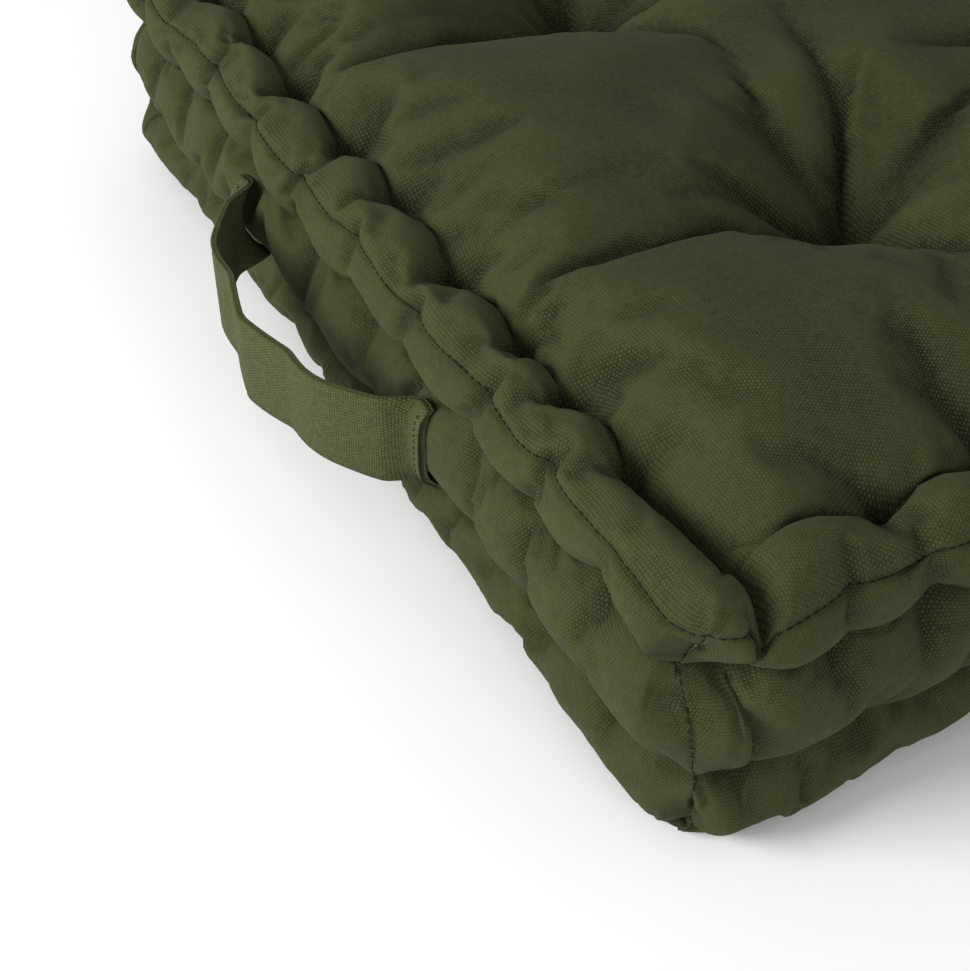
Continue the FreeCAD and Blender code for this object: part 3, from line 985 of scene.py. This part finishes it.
def tuft_stitches(name, surfaces):
    """The twine of the four tufts: two crossed stitches at the bottom of each well."""
    length, thickness = 7 * MM, 1.2 * MM
    places, ways, lifts = [], [], []
    for face, up in (("top", 1), ("bottom", -1)):
        points, rest = (grid.reshape(-1, 3) for grid in surfaces[face])
        for quarter in range(4):
            apart = np.linalg.norm(to_side(rest, quarter)[:, :2] - TUFT_PLACE, axis=1)
            place = points[np.argmin(apart)]
            for angle in (35, 128):
                places.append(place + np.array([0, 0, up * thickness]))
                ways.append((math.cos(math.radians(angle)), math.sin(math.radians(angle)), 0))
                lifts.append((0, 0, up))
    return stitches(name, *(np.array(each, float) for each in (places, ways, lifts)), length, thickness)


def strap_end_stitches(name, strap_grids):
    """The upright row of stitches that sews each strap end down."""
    pitch, length = 2.6 * MM, 1.9 * MM
    found = []
    for grid in strap_grids:
        row = np.argmin(np.abs(np.abs(grid[:, 0, 0]) - STRAP_STITCH_X))
        found.append(spaced(grid[row, 1:16], pitch))
    places, ways = (np.concatenate(each) for each in zip(*found))
    lifts = np.repeat([[0.0, -1.0, 0.0]], len(places), axis=0)
    return stitches(name, places, ways, lifts, length, STITCH_THICK)


# ------------------------------------------------------------------ stage

LENS_MM = 62.7
SENSOR_MM = 36
CAMERA_PLACE = (0.4356, -0.4005, TOP_SEAM_Z + 0.3269)
CAMERA_AIM = (-0.6327, 0.3449, -0.6934)


def area_light(name, place, aim, size, power):
    """A soft square light that faces a point."""
    light = bpy.data.lights.new(name, "AREA")
    light.size = size
    light.energy = power
    lamp = bpy.data.objects.new(name, light)
    lamp.location = place
    lamp.rotation_euler = (Vector(aim) - Vector(place)).to_track_quat("-Z", "Y").to_euler()
    bpy.context.scene.collection.objects.link(lamp)


def pale_floor():
    """The floor that the cushion rests on."""
    bpy.ops.mesh.primitive_plane_add(size=12, location=(0, 0, 0))
    floor = bpy.context.object
    floor.name = "floor"
    material = bpy.data.materials.new("pale_floor")
    material.use_nodes = True
    shader = material.node_tree.nodes["Principled BSDF"]
    shader.inputs["Base Color"].default_value = (0.9, 0.9, 0.9, 1)
    shader.inputs["Roughness"].default_value = 0.9
    floor.data.materials.append(material)


def studio_light():
    """Even light from all round, a soft key light in front and a weaker one at the right."""
    world = bpy.data.worlds.new("studio")
    world.use_nodes = True
    world.node_tree.nodes["Background"].inputs["Color"].default_value = (1, 1, 1, 1)
    world.node_tree.nodes["Background"].inputs["Strength"].default_value = 0.54
    bpy.context.scene.world = world
    bpy.context.scene.view_settings.view_transform = "Standard"
    area_light("key", (-0.35, -1.85, 0.85), (-0.05, -0.1, 0.05), 0.9, 46)
    area_light("fill", (1.9, -0.2, 0.7), (0, 0, 0.05), 1.0, 12)


def photo_camera():
    """The camera at the photograph's place and angle, above the near corner."""
    lens = bpy.data.cameras.new("camera")
    lens.sensor_width = SENSOR_MM
    lens.lens = LENS_MM
    lens.clip_start = 0.01
    camera = bpy.data.objects.new("camera", lens)
    camera.location = CAMERA_PLACE
    camera.rotation_euler = Vector(CAMERA_AIM).to_track_quat("-Z", "Y").to_euler()
    bpy.context.scene.collection.objects.link(camera)
    bpy.context.scene.camera = camera


# ------------------------------------------------------------------ build

canvas = canvas_material("canvas", (0.050, 0.0553, 0.0198), (0.0105, 0.0110, 0.0042))
# The strap's canvas: the cover's canvas made lighter and greener, which is painted light, since the strap
# is the same cloth.
strap_canvas_painted_lit = canvas_material("strap_canvas_painted_lit", (0.086, 0.104, 0.038), (0.018, 0.020, 0.008))
thread = thread_material("thread", (0.010, 0.011, 0.005))
twine = thread_material("twine", (0.020, 0.020, 0.010))

cover = Cover()
cover.shape()
cover.fill()
sheets = {
    "top": ("top_cover", ["top_panel", "filling_top_layer", "top_edge_roll_filling"]),
    "bottom": ("bottom_cover", ["bottom_panel", "filling_bottom_layer", "bottom_edge_roll_filling"]),
    "front": ("border_cover_front", ["border_front", "filling_core"]),
    "right": ("border_cover_right", ["border_right"]),
    "back": ("border_cover_back", ["border_back"]),
    "left": ("border_cover_left", ["border_left"]),
}
surfaces = {}
for face, (name, nodes) in sheets.items():
    piece, surfaces[face] = cover_piece(cover, face, name)
    piece.data.materials.append(canvas)
    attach(piece, "cushion")
    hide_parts(*nodes)

strap_grids = []
cover_face = FrontFace(surfaces["front"][0])
for sign, side in ((1, "right"), (-1, "left")):
    strap, grid = strap_half(sign, "strap_" + side, cover_face)
    strap_grids.append(grid)
    strap.data.materials.append(strap_canvas_painted_lit)
    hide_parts("handle_end_" + side, "handle_strap")
    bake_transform(strap)

top_rows = (("panel", (0, 0, 1)), ("border", (0, -1, 0)))
bottom_rows = (("under", (0, 0, -1)), ("low", (0, -1, 0)))
sewn = {
    "top_seam_thread": seam_thread("top_seam_stitches", surfaces["top"][0], 0.8),
    "bottom_seam_thread": seam_thread("bottom_seam_stitches", surfaces["bottom"][0], -0.8),
    "corner_seam_threads": corner_thread("corner_seam_stitches", surfaces),
    "handle_stitching": strap_end_stitches("strap_stitches", strap_grids),
}
tied = {
    "top_roll_twine": roll_stitches("top_roll_stitches", surfaces, top_rows, "top"),
    "bottom_roll_twine": roll_stitches("bottom_roll_stitches", surfaces, bottom_rows, "bottom"),
    "tuft_ties": tuft_stitches("tufts", surfaces),
}
for pieces, slot, material in ((sewn, "thread", thread), (tied, "twine", twine)):
    for node, piece in pieces.items():
        piece.data.materials.append(material)
        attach(piece, "cushion")
        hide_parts(node)

pale_floor()
studio_light()
photo_camera()
